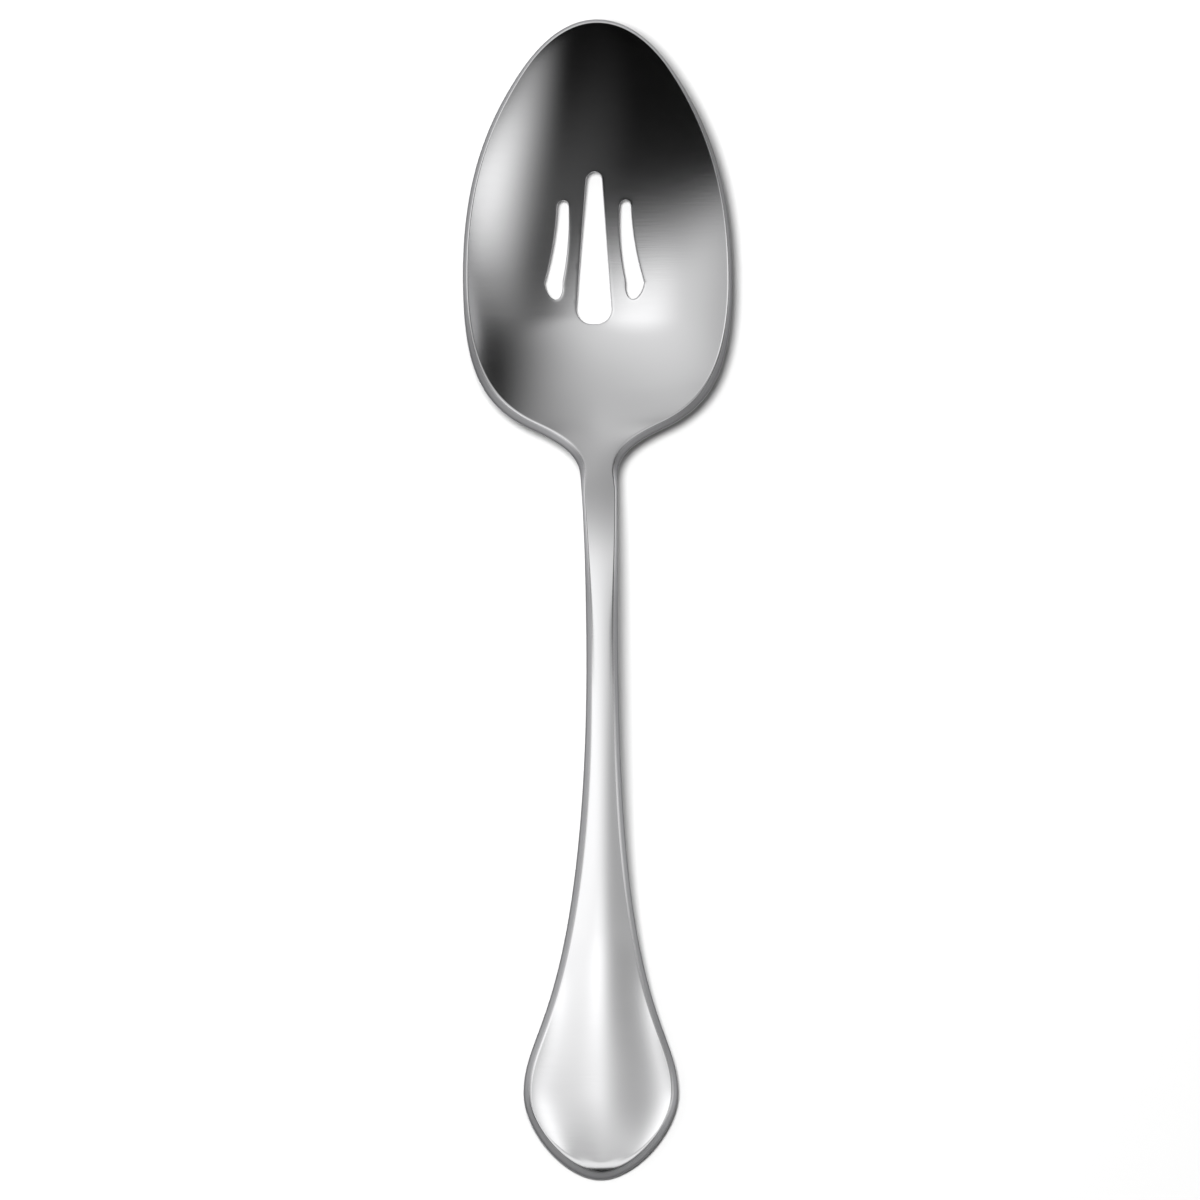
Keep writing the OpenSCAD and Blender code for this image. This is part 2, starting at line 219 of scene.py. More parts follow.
class Form:
    """The spoon's form: its outline, and the heights of its top face, crease and underside."""

    # Places, as shares of the way from the bowl's widest place to the neck
    heel_turn_share = 0.55
    heel_flank_share = 0.72
    heel_end_share = 0.86
    # From the narrowest place to the pad, and from the neck's root to the narrowest place
    stem_spread_share = 0.66
    neck_set_share = 0.125
    # Places and heights of the middle line where the neck climbs to the arch and the stem falls from it
    climb_share = 0.42
    climb_height_share = 0.8
    descent_share = 0.62
    descent_height_share = 0.53
    pad_height_share = 0.165
    # Slopes of the middle line, from the tip to the end
    tip_slope = -0.46
    flank_slope = 0.44
    root_slope = 0.42
    climb_slope = 0.15
    descent_slope = -0.19
    pad_slope = -0.155
    end_slope = -0.17
    # The rim's fall to the heel, its slopes there, and the crown that is left at the end
    rim_fall_share = 0.62
    rim_turn_slope = -0.06
    rim_end_slope = 0.25
    end_crown_share = 0.4
    # How round the bowl is across, how sharply the stem's underside turns up, and the least half width
    bowl_round_share = 0.8
    foot_power = 3.4
    least_half = 0.1 * MM
    # Points that are measured on each stretch of the outline
    samples = 240

    def __init__(self, bowl, handle):
        self.bowl = bowl
        self.handle = handle
        self.length = bowl.length + handle.length
        self.rim = bowl.wall + bowl.depth
        self.narrow_at = bowl.length + handle.narrow_at
        self.crest_at = bowl.length + handle.arch_at
        self.pad_at = self.length - handle.pad_from_end
        self.heel_turn_at = part_way(bowl.widest_at, bowl.length, self.heel_turn_share)
        self.heel_flank_at = part_way(bowl.widest_at, bowl.length, self.heel_flank_share)
        self.heel_end_at = part_way(bowl.widest_at, bowl.length, self.heel_end_share)
        self.neck_set_at = part_way(bowl.length, self.narrow_at, self.neck_set_share)
        self.stem_spread_at = part_way(self.narrow_at, self.pad_at, self.stem_spread_share)
        self.set_outline()
        self.set_heights()
        self.set_edges()
        self.walk()

    def set_outline(self):
        """Places the curves of the half outline, from the tip round to the end."""
        bowl_half = self.bowl.width / 2
        root_half = self.handle.root_width / 2
        neck_half = self.handle.neck_width / 2
        pad_half = self.handle.pad_width / 2

        def placed(shares, near, far, start, stop):
            points = [Vector((part_way(near, far, s[0]), part_way(start, stop, s[1]))) for s in shares]
            return [points[i:i + 4] for i in range(0, len(points) - 1, 3)]

        self.stretches = (
            placed(TIP_SHARES, 0, bowl_half, 0, self.bowl.widest_at)
            + placed(HEEL_SHARES, root_half, bowl_half, self.bowl.widest_at, self.bowl.length)
            + placed(NECK_SHARES, neck_half, root_half, self.bowl.length, self.narrow_at)
            + placed(STEM_SHARES, neck_half, pad_half, self.narrow_at, self.pad_at)
            + placed(END_SHARES, 0, pad_half, self.pad_at, self.length)
        )

    def set_heights(self):
        """Knots of (distance from the tip, value, slope) for the heights along the spoon."""
        bowl, handle = self.bowl, self.handle
        arch, root, end = handle.arch_height, handle.root_height, handle.end_thickness
        climb_at = bowl.length + handle.arch_at * self.climb_share
        descent_at = part_way(self.crest_at, self.pad_at, self.descent_share)
        self.middle_knots = (
            (0, self.rim + bowl.tip_rise, self.tip_slope),
            (bowl.deepest_at, bowl.wall, 0),
            (self.heel_flank_at, bowl.heel_height, self.flank_slope),
            (bowl.length, root, self.root_slope),
            (climb_at, part_way(root, arch, self.climb_height_share), self.climb_slope),
            (self.crest_at, arch, 0),
            (descent_at, part_way(end, arch, self.descent_height_share), self.descent_slope),
            (self.pad_at, part_way(end, arch, self.pad_height_share), self.pad_slope),
            (self.length, end, self.end_slope),
        )
        self.crown_knots = (
            (bowl.length, handle.root_crown, 0),
            (self.narrow_at, handle.neck_crown, 0),
            (self.stem_spread_at, handle.stem_crown, 0),
            (self.pad_at, handle.pad_crown, 0),
            (self.length, handle.pad_crown * self.end_crown_share, 0),
        )
        self.rim_knots = (
            (0, self.rim + bowl.tip_rise, -bowl.tip_rise / bowl.widest_at),
            (bowl.widest_at, self.rim, 0),
            (self.heel_turn_at, self.rim - bowl.heel_fall * self.rim_fall_share, self.rim_turn_slope),
            (self.heel_end_at, self.rim - bowl.heel_fall, self.rim_end_slope),
            (bowl.length, root - handle.root_crown, self.root_slope),
        )
        thickening = (handle.neck_thickness - bowl.heel_wall) / (self.neck_set_at - self.heel_end_at)
        self.thickness_knots = (
            (0, bowl.tip_wall, 0),
            (bowl.deepest_at, bowl.wall, 0),
            (self.heel_end_at, bowl.heel_wall, thickening),
            (self.neck_set_at, handle.neck_thickness, 0),
            (self.narrow_at, handle.neck_thickness, 0),
            (self.pad_at, handle.pad_thickness, 0),
            (self.length, end, 0),
        )
        self.form_knots = ((0, 0, 0), (self.heel_turn_at, 0, 0), (bowl.length, 1, 0), (self.length, 1, 0))
        self.dish_knots = (
            (0, 0, 0), (self.stem_spread_at, 0, 0), (self.pad_at, handle.pad_dish, 0), (self.length, 0, 0)
        )

    def set_edges(self):
        """Knots of the edge face's width and drop along the spoon."""
        bowl, handle = self.bowl, self.handle
        self.edge_width_knots = (
            (0, bowl.tip_edge_width, 0),
            (bowl.widest_at * 0.5, bowl.edge_width, 0),
            (bowl.widest_at, bowl.edge_width, 0),
            (self.heel_flank_at, bowl.heel_edge_width, 0),
            (self.heel_end_at, bowl.heel_edge_width, 0),
            (self.neck_set_at, handle.neck_edge_width, 0),
            (self.narrow_at, handle.bevel_width, 0),
            (self.pad_at, handle.pad_bevel_width, 0),
            (self.length, handle.end_bevel_width, 0),
        )
        self.edge_drop_knots = (
            (0, bowl.edge_drop, 0),
            (bowl.widest_at, bowl.edge_drop, 0),
            (self.heel_flank_at, bowl.heel_edge_drop, 0),
            (self.neck_set_at, bowl.heel_edge_drop, 0),
            (self.narrow_at, handle.bevel_drop, 0),
            (self.length, handle.bevel_drop, 0),
        )

    def edge_point(self, way):
        """Point of the half outline, as (half width, distance from the tip); way counts its stretches."""
        number = min(int(way), len(self.stretches) - 1)
        return curve(self.stretches[number], way - number)

    def crease_point(self, way):
        """Point of the crease, which lies inside the outline by the width of the edge face."""
        number = min(int(way), len(self.stretches) - 1)
        point = curve(self.stretches[number], way - number)
        d = heading(self.stretches[number], way - number)
        width = course(self.edge_width_knots, point[1])
        return Vector((max(0.0, point[0] - width * d[1]), point[1] + width * d[0]))

    def walk(self):
        """Measures the crease and the outline once, so that a place can be looked up by its distance."""
        last = len(self.stretches)
        self.ways = [i / self.samples for i in range(last * self.samples + 1)]
        crease = [self.crease_point(way) for way in self.ways]
        edge = [self.edge_point(way) for way in self.ways]
        self.run = [0.0]
        for before, after in zip(crease, crease[1:]):
            self.run.append(self.run[-1] + (after - before).length)
        self.crease_ats, self.crease_halves = [p[1] for p in crease], [p[0] for p in crease]
        self.edge_ats, self.edge_halves = [p[1] for p in edge], [p[0] for p in edge]

    @staticmethod
    def look_up(keys, values, key):
        """The value that belongs to a key, between the two nearest of a rising row of keys."""
        i = min(max(bisect.bisect_right(keys, key) - 1, 0), len(keys) - 2)
        t = (key - keys[i]) / (keys[i + 1] - keys[i]) if keys[i + 1] > keys[i] else 0.0
        return part_way(values[i], values[i + 1], min(1.0, max(0.0, t)))

    def way_at(self, distance):
        """The way whose crease point is this far along the crease from the tip."""
        return self.look_up(self.run, self.ways, distance)

    def crease_half(self, at):
        return self.look_up(self.crease_ats, self.crease_halves, at)

    def edge_half(self, at):
        return self.look_up(self.edge_ats, self.edge_halves, at)

    def crease_height(self, at):
        if at < self.bowl.length:
            return course(self.rim_knots, at)
        return course(self.middle_knots, at) - course(self.crown_knots, at)

    def bowl_form(self, k):
        """Share of the bowl's rise that is reached at a share of its half width."""
        return self.bowl_round_share * k ** 2 + (1 - self.bowl_round_share) * k ** 4

    def top(self, x, at):
        """Height of the top face."""
        half = max(self.crease_half(at), self.least_half)
        k = min(1.0, abs(x) / half)
        r = self.handle.ridge_radius / half
        ridge = (math.hypot(k, r) - r) / (math.hypot(1, r) - r)
        form = part_way(self.bowl_form(k), ridge, course(self.form_knots, at))
        dish = course(self.dish_knots, at) * 4 * k ** 2 * (1 - k ** 2)
        return part_way(course(self.middle_knots, at), self.crease_height(at), form) - dish

    def underside(self, x, at):
        """Height of the underside."""
        k = min(1.0, abs(x) / max(self.edge_half(at), self.least_half))
        foot = 1 - max(0.0, 1 - k ** self.foot_power) ** (1 / self.foot_power)
        form = part_way(self.bowl_form(k), foot, course(self.form_knots, at))
        low = course(self.middle_knots, at) - course(self.thickness_knots, at)
        return part_way(low, self.crease_height(at) - course(self.edge_drop_knots, at), form)


def arc(centre, radius, start, stop, steps=12):
    """Points of an arc in the plane of the table, its angles in degrees."""
    turns = [math.radians(part_way(start, stop, i / steps)) for i in range(steps + 1)]
    return [centre + Vector((math.cos(a), math.sin(a))) * radius for a in turns]


def middle_slot(slots, length):
    """Outline of the tapered middle slot."""
    top = length / 2 - slots.middle_from_tip
    end = top - slots.middle_length
    narrow, wide, r = slots.middle_narrow / 2, slots.middle_wide / 2, slots.middle_corner
    return (
        arc(Vector((0, top - narrow)), narrow, 0, 180)
        + arc(Vector((r - wide, end + r)), r, 180, 270)
        + arc(Vector((wide - r, end + r)), r, 270, 360)
    )


def side_slot(slots, length, side, steps=16):
    """Outline of a bowed side slot, on the left for side -1 and on the right for side 1."""
    top = length / 2 - slots.side_from_tip
    narrow, wide = slots.side_narrow / 2, slots.side_wide / 2
    run = slots.side_length - narrow - slots.side_point
    shares = [i / steps for i in range(1, steps)]

    def lane(t):
        return Vector((side * (slots.side_offset + slots.side_flare * t * t), top - narrow - run * t))

    def breadth(t):
        return Vector((part_way(narrow, wide, t), 0))

    def point(turn):
        across = wide * math.cos(turn) + side * slots.side_lean * math.sin(turn)
        return lane(1) + Vector((across, slots.side_point * math.sin(turn)))

    turns = [math.pi * (1 + i / (2 * steps)) for i in range(2 * steps + 1)]
    return (
        arc(lane(0), narrow, 0, 180)
        + [lane(t) - breadth(t) for t in shares]
        + [point(turn) for turn in turns]
        + [lane(t) + breadth(t) for t in reversed(shares)]
    )


def foot_on(outline, point):
    """The point of a closed outline that is nearest to a point."""
    feet = []
    for a, b in zip(outline, outline[1:] + outline[:1]):
        along = b - a
        t = (point - a).dot(along) / along.length_squared
        feet.append(a + along * min(1.0, max(0.0, t)))
    return min(feet, key=lambda foot: (foot - point).length_squared)


def is_inside(outline, point):
    """Whether a point lies inside a closed outline."""
    inside = False
    for a, b in zip(outline, outline[1:] + outline[:1]):
        if (a.y > point.y) != (b.y > point.y):
            if point.x < a.x + (point.y - a.y) * (b.x - a.x) / (b.y - a.y):
                inside = not inside
    return inside


class Blank:
    """The pressed and pierced blank, as a bmesh that starts flat and is then given its heights."""

    # Columns across, and rows along: fine ones over the bowl, then coarse ones
    columns = 92
    fine_rows = 170
    coarse_rows = 140
    fine_step = 0.46 * MM
    # The edge face: its rows, and how much of its rows, width and drop its flat part takes
    edge_rows = 8
    flat_share = 0.5
    flat_width = 0.86
    flat_drop = 0.55
    # Where the sheet's corners lie along the crease, and how far the pull towards the round ends reaches
    corner_at_tip = 15 * MM
    corner_at_end = 13 * MM
    fade_at_tip = 34 * MM
    fade_at_end = 26 * MM
    # Distances of the two narrow columns from the crease
    rail_steps = (0.22 * MM, 0.55 * MM)
    # Clear ring round a slot, the least step along it, and how the sheet beside it is evened out
    slot_margin = 0.55 * MM
    least_step = 0.25 * MM
    relax_rings = 3
    relax_rounds = 10
    # A slot's rim lies between an upright face and one that faces up or down, by their normals' Z
    upright_tilt = 0.05
    level_tilt = 0.4
    rolled_steps = 4

    def __init__(self, form, slots):
        self.form = form
        self.slots = slots
        self.bm = bmesh.new()
        # One more than a vertex's way on the outline, or zero where it lies inside the sheet
        self.way = self.bm.verts.layers.float.new("way")
        # How far down the edge face, or into the wall of a slot, a vertex lies, as a share
        self.ground = self.bm.verts.layers.float.new("ground")

    def row_point(self, half, column):
        """A column's place across a row: even steps, and two narrow ones beside the crease."""
        count = self.columns // 2
        step = abs(column - count)
        from_edge = count - step
        if from_edge <= len(self.rail_steps):
            place = half - ((0.0,) + self.rail_steps)[from_edge]
        else:
            place = (half - self.rail_steps[-1]) * step / (count - len(self.rail_steps))
        return math.copysign(place, column - count)

    def row_distance(self, row):
        """How far along the crease from the tip a row ends."""
        change = self.corner_at_tip + self.fine_rows * self.fine_step
        if row <= self.fine_rows:
            return part_way(self.corner_at_tip, change, row / self.fine_rows)
        last = self.form.run[-1] - self.corner_at_end
        return part_way(change, last, (row - self.fine_rows) / self.coarse_rows)

    def sheet(self):
        """A grid laid over the area inside the crease, its four corners on the round ends."""
        form = self.form
        total = form.run[-1]
        rows = self.fine_rows + self.coarse_rows
        ends = (
            (self.corner_at_tip, 0.0, self.fade_at_tip),
            (total - self.corner_at_end, total, self.fade_at_end),
        )
        made = bmesh.ops.create_grid(self.bm, x_segments=self.columns, y_segments=rows, size=1)
        for vert in made["verts"]:
            column = round((vert.co.x + 1) / 2 * self.columns)
            row = round((1 - vert.co.y) / 2 * rows)
            place = self.row_distance(row)
            side_way = form.way_at(place)
            half, at = form.crease_point(side_way)
            x = self.row_point(half, column)
            share = 2 * column / self.columns - 1
            for start, end_place, fade in ends:
                away = abs(place - start)
                if away >= fade:
                    continue
                weight = (1 - away / fade) ** 2 * (1 + 2 * away / fade)
                corner = form.crease_point(form.way_at(start))
                end_way = form.way_at(part_way(end_place, start, abs(share)))
                end_half, end_at = form.crease_point(end_way)
                x += weight * (math.copysign(end_half, share) - self.row_point(corner[0], column))
                at += weight * (end_at - corner[1])
                if away < TINY:
                    vert[self.way] = 1 + end_way
            if column in (0, self.columns):
                vert[self.way] = 1 + side_way
            vert.co = (x, form.length / 2 - at, 0)

    def pierce(self):
        """Opens the sheet round each slot and joins it to the slot's outline."""
        for outline in (
            middle_slot(self.slots, self.form.length),
            side_slot(self.slots, self.form.length, -1),
            side_slot(self.slots, self.form.length, 1),
        ):
            self.open_slot(outline)

    def open_slot(self, outline):
        """Cuts the faces near an outline away and closes the gap with a ring that ends on it."""
        bm = self.bm
        reach = self.slot_margin * 2
        low = Vector((min(p.x for p in outline) - reach, min(p.y for p in outline) - reach))
        high = Vector((max(p.x for p in outline) + reach, max(p.y for p in outline) + reach))

        def is_near(vert):
            spot = vert.co.xy
            if not (low.x < spot.x < high.x and low.y < spot.y < high.y):
                return False
            return is_inside(outline, spot) or (foot_on(outline, spot) - spot).length < self.slot_margin

        def is_beside_gap(vert):
            lost = sum(face in doomed for face in vert.link_faces)
            return 0 < lost < len(vert.link_faces)

        # The lists keep the mesh's own order, so that every run welds the same points
        near = {vert for vert in bm.verts if is_near(vert)}
        doomed = {face for vert in near for face in vert.link_faces}
        verts = [vert for vert in bm.verts if is_beside_gap(vert)]
        bmesh.ops.delete(bm, geom=[face for face in bm.faces if face in doomed], context="FACES")
        for vert in verts:
            foot = foot_on(outline, vert.co.xy)
            vert.co.xy = foot + (vert.co.xy - foot).normalized() * self.slot_margin
        bmesh.ops.remove_doubles(bm, verts=verts, dist=self.least_step)
        ring = {vert for vert in verts if vert.is_valid}
        rim = [edge for edge in bm.edges if edge.is_boundary and ring.issuperset(edge.verts)]
        self.relax(ring)
        made = bmesh.ops.extrude_edge_only(bm, edges=rim)
        for vert in made["geom"]:
            if isinstance(vert, bmesh.types.BMVert):
                vert.co.xy = foot_on(outline, vert.co.xy)

    def relax(self, ring):
        """Evens out the sheet round a slot. The ring beside the gap stays where it is."""
        loose = set(ring)
        for _ in range(self.relax_rings):
            loose |= {edge.other_vert(vert) for vert in loose for edge in vert.link_edges}
        loose = [vert for vert in self.bm.verts if vert in loose and not vert.is_boundary]
        for _ in range(self.relax_rounds):
            bmesh.ops.smooth_vert(self.bm, verts=loose, factor=0.5, use_axis_x=True, use_axis_y=True)

    def thicken(self):
        """Pulls the flat sheet down by one, with rows of cells round its outside and its slots."""
        bm = self.bm
        made = bmesh.ops.extrude_face_region(bm, geom=bm.faces[:], use_keep_orig=True)
        lower = [item for item in made["geom"] if isinstance(item, bmesh.types.BMVert)]
        bmesh.ops.translate(bm, verts=lower, vec=(0, 0, -1))
        upright = [edge for edge in bm.edges if abs(edge.verts[0].co.z - edge.verts[1].co.z) > 0.5]
        bmesh.ops.subdivide_edges(bm, edges=upright, cuts=self.edge_rows - 1, use_grid_fill=True)

    def press(self):
        """Gives every point of the flat blank its place on the spoon."""
        form = self.form
        for vert in self.bm.verts:
            x, y, share = vert.co.x, vert.co.y, -vert.co.z
            at = form.length / 2 - y
            if vert[self.way] >= 1:
                way = vert[self.way] - 1
                crease, edge = form.crease_point(way), form.edge_point(way)
                high = form.crease_height(crease[1])
                low = form.crease_height(edge[1]) - course(form.edge_drop_knots, edge[1])
                out, down = self.edge_profile(share)
                place = crease.lerp(edge, out)
                side = math.copysign(1, x) if abs(x) > TINY else 0
                vert.co = (side * place[0], form.length / 2 - place[1], part_way(high, low, down))
                vert[self.ground] = share
            else:
                vert.co.z = part_way(form.top(x, at), form.underside(x, at), share)
                vert[self.ground] = min(share, 1 - share)

    def edge_profile(self, share):
        """Shares of the edge face's width and drop: a flat face, then a round turn into the outline."""
        if share <= self.flat_share:
            t = share / self.flat_share
            return self.flat_width * t, self.flat_drop * t
        turn = math.radians(90 * (share - self.flat_share) / (1 - self.flat_share))
        return (
            part_way(self.flat_width, 1, math.sin(turn)), part_way(self.flat_drop, 1, 1 - math.cos(turn))
        )

    def roll_slots(self):
        """Rounds the rims of the slots on both faces, as polishing does."""
        bm = self.bm
        bm.normal_update()
        rims = []
        for edge in bm.edges:
            if len(edge.link_faces) == 2 and edge.verts[0][self.way] < 1 and edge.verts[1][self.way] < 1:
                tilts = sorted(abs(face.normal.z) for face in edge.link_faces)
                if tilts[0] < self.upright_tilt and tilts[1] > self.level_tilt:
                    rims.append(edge)
        bmesh.ops.bevel(
            bm, geom=rims, offset=self.slots.rolled_edge, offset_type="OFFSET", affect="EDGES",
            segments=self.rolled_steps, profile=0.5, material=-1, clamp_overlap=True,
        )

    def build(self):
        """Lays, pierces, thickens and presses the blank, and rounds the rims of its slots."""
        self.sheet()
        self.pierce()
        self.thicken()
        self.press()
        bmesh.ops.recalc_face_normals(self.bm, faces=self.bm.faces[:])
        self.roll_slots()
        return self.bm


def add(tree, kind, settings=None, links=None):
    """Adds a node, sets its properties or inputs, and links its inputs to other nodes' outputs."""
    node = tree.nodes.new(kind)
    for name, value in (settings or {}).items():
        if isinstance(name, str) and hasattr(node, name):
            setattr(node, name, value)
        else:
            node.inputs[name].default_value = value
    for name, output in (links or {}).items():
        tree.links.new(output, node.inputs[name])
    return node


def smooth_range(tree, source, start, stop, low, high):
    """Goes smoothly from low to high while the source goes from start to stop."""
    settings = {
        "interpolation_type": "SMOOTHSTEP",
        "From Min": start, "From Max": stop, "To Min": low, "To Max": high,
    }
    return add(tree, "ShaderNodeMapRange", settings, {"Value": source}).outputs["Result"]


# The polish: how much its blur varies with the lines, and how strong and how deep the lines are
BLUR_SPREAD = 0.03
LINE_STRENGTH = 0.15
LINE_DEPTH = 0.02 * MM
# Shares of the way down the edge face between which it turns dull and a darker colour that is partly
# painted shade, and then dark with painted shade
DULL_START, DULL_STOP = 0.04, 0.25
SHADE_START, SHADE_STOP = 0.38, 0.60


def polished_steel(looks):
    """Stainless steel 18/10, ground crosswise, then polished: a soft mirror with faint lines across."""
    material = bpy.data.materials.new("polished_stainless_steel")
    material.use_nodes = True
    tree = material.node_tree
    tree.nodes.clear()
    place = add(tree, "ShaderNodeTexCoord").outputs["Object"]
    # Polishing lines run across the spoon: long in X, fine in Y
    lines = add(
        tree, "ShaderNodeMapping",
        {"Scale": (1 / looks.line_length, 1 / looks.line_width, 1 / looks.line_length)},
        {"Vector": place},
    )
    grain = add(
        tree, "ShaderNodeTexNoise", {"Scale": 1.0, "Detail": 3.0, "Roughness": 0.6},
        {"Vector": lines.outputs["Vector"]},
    )
    blur = add(
        tree, "ShaderNodeMapRange",
        {"To Min": looks.roughness - BLUR_SPREAD, "To Max": looks.roughness + BLUR_SPREAD},
        {"Value": grain.outputs["Fac"]},
    )
    bump = add(
        tree, "ShaderNodeBump", {"Strength": LINE_STRENGTH, "Distance": LINE_DEPTH},
        {"Height": grain.outputs["Fac"]},
    )
    # The edge that blanking left is only ground: dull beside the polished faces, in a darker colour that
    # is partly painted shade, and darker at its foot with painted shade
    edge = add(tree, "ShaderNodeAttribute", {"attribute_name": "ground"}).outputs["Fac"]
    # Dull finish, and a darker colour that is partly painted shade
    dulled_and_shaded = add(
        tree, "ShaderNodeMapRange", {"From Min": DULL_START, "From Max": DULL_STOP}, {"Value": edge}
    ).outputs["Result"]
    # Painted shade: the colour goes darker towards the foot of the edge face
    painted_shade_share = add(
        tree, "ShaderNodeMapRange", {"From Min": SHADE_START, "From Max": SHADE_STOP}, {"Value": edge}
    ).outputs["Result"]
    face = add(
        tree, "ShaderNodeMix", {"data_type": "RGBA", 6: looks.steel, 7: looks.ground_edge_and_shade}, {0: dulled_and_shaded}
    )
    tone_and_painted_shade = add(
        tree, "ShaderNodeMix", {"data_type": "RGBA", 7: looks.painted_edge_shade}, {0: painted_shade_share, 6: face.outputs[2]}
    )
    dull = add(
        tree, "ShaderNodeMix", {3: looks.edge_roughness}, {0: dulled_and_shaded, 2: blur.outputs["Result"]}
    )
    steel = add(
        tree, "ShaderNodeBsdfPrincipled", {"Metallic": 1.0},
        {
            "Base Color": tone_and_painted_shade.outputs[2],
            "Roughness": dull.outputs[0],
            "Normal": bump.outputs["Normal"],
        },
    )
    add(tree, "ShaderNodeOutputMaterial", {}, {"Surface": steel.outputs["BSDF"]})
    return material


SPECK_SIZE = 0.8 * MM


def pale_table(looks):
    """Matt grey board, which the lamp turns white and which keeps the spoon's shadow."""
    material = bpy.data.materials.new("matt_grey_board")
    material.use_nodes = True
    tree = material.node_tree
    tree.nodes.clear()
    place = add(tree, "ShaderNodeTexCoord").outputs["Object"]
    speck = add(tree, "ShaderNodeTexNoise", {"Scale": 1 / SPECK_SIZE, "Detail": 1.0}, {"Vector": place})
    blur = add(
        tree, "ShaderNodeMapRange", {"To Min": 0.75, "To Max": 0.85}, {"Value": speck.outputs["Fac"]}
    )
    board = add(
        tree, "ShaderNodeBsdfPrincipled",
        {"Base Color": looks.table},
        {"Roughness": blur.outputs["Result"]},
    )
    add(tree, "ShaderNodeOutputMaterial", {}, {"Surface": board.outputs["BSDF"]})
    return material


# The studio's cards, as a mirror on the table shows them to a camera above it. Each has a name, the lean
# of the mirror towards +X and +Y, in degrees, that shows its middle, its half sizes, counted as the
# lean's tangent, its turn in degrees, the softness of its border as a share, and its brightness.
# Later cards hide earlier ones, and the surround is what is left between them
CARDS = (
    ("lit ceiling and left wall", (-15, 5), (0.50, 0.36), 0, 0.80, 0.95),
    ("overhead box", (-12, 0.5), (0.18, 0.10), 0, 0.80, 1.45),
    ("dark corner at the right", (40, 19), (0.48, 0.42), 0, 0.75, 0.02),
    ("black curtain in front", (-14, -52.9), (1.90, 1.205), 7.5, 0.09, 0.002),
    ("gap beside the curtain", (14, -7), (0.30, 0.12), 32, 0.75, 0.08),
    ("strip at the front right", (37, -13.9), (0.315, 0.158), 11, 0.85, 1.27),
    ("dark wall at the back", (0, 63.3), (2.2, 1.25), 0, 0.08, 0.04),
)
SURROUND = 0.50
# A little more than 1, so that the direction straight down divides by more than nothing
CHART_OFFSET = 1.02


def studio_world():
    """Soft studio round the table, painted by direction as lit and black cards."""
    world = bpy.data.worlds.new("soft_studio")
    world.use_nodes = True
    tree = world.node_tree
    tree.nodes.clear()
    way = add(tree, "ShaderNodeTexCoord").outputs["Generated"]
    parts = add(tree, "ShaderNodeSeparateXYZ", {}, {"Vector": way})
    above = add(tree, "ShaderNodeMath", {"operation": "ADD", 1: CHART_OFFSET}, {0: parts.outputs["Z"]})
    spread = add(tree, "ShaderNodeCombineXYZ", {}, {i: above.outputs[0] for i in range(3)})
    # A level mirror that leans by an angle shows the direction whose chart place is the angle's tangent
    chart = add(
        tree, "ShaderNodeVectorMath", {"operation": "DIVIDE"}, {0: way, 1: spread.outputs["Vector"]}
    )
    flat = add(
        tree, "ShaderNodeVectorMath", {"operation": "MULTIPLY", 1: (1, 1, 0)}, {0: chart.outputs["Vector"]}
    )
    level = None
    for name, middle, halves, turn, softness, brightness in CARDS:
        spot = [math.tan(math.radians(a)) for a in middle]
        card = add(
            tree, "ShaderNodeMapping",
            {
                "vector_type": "TEXTURE", "label": name, "Location": (*spot, 0),
                "Rotation": (0, 0, math.radians(turn)), "Scale": (*halves, 1),
            },
            {"Vector": flat.outputs["Vector"]},
        )
        far = add(tree, "ShaderNodeVectorMath", {"operation": "LENGTH"}, {0: card.outputs["Vector"]})
        mask = smooth_range(tree, far.outputs["Value"], 1 + softness, 1 - softness, 0.0, 1.0)
        mix = add(tree, "ShaderNodeMix", {2: SURROUND, 3: brightness}, {0: mask})
        if level:
            tree.links.new(level, mix.inputs[2])
        level = mix.outputs[0]
    ground = add(tree, "ShaderNodeBackground", {"Strength": 1.0}, {"Color": level})
    add(tree, "ShaderNodeOutputWorld", {}, {"Surface": ground.outputs["Background"]})
    return world


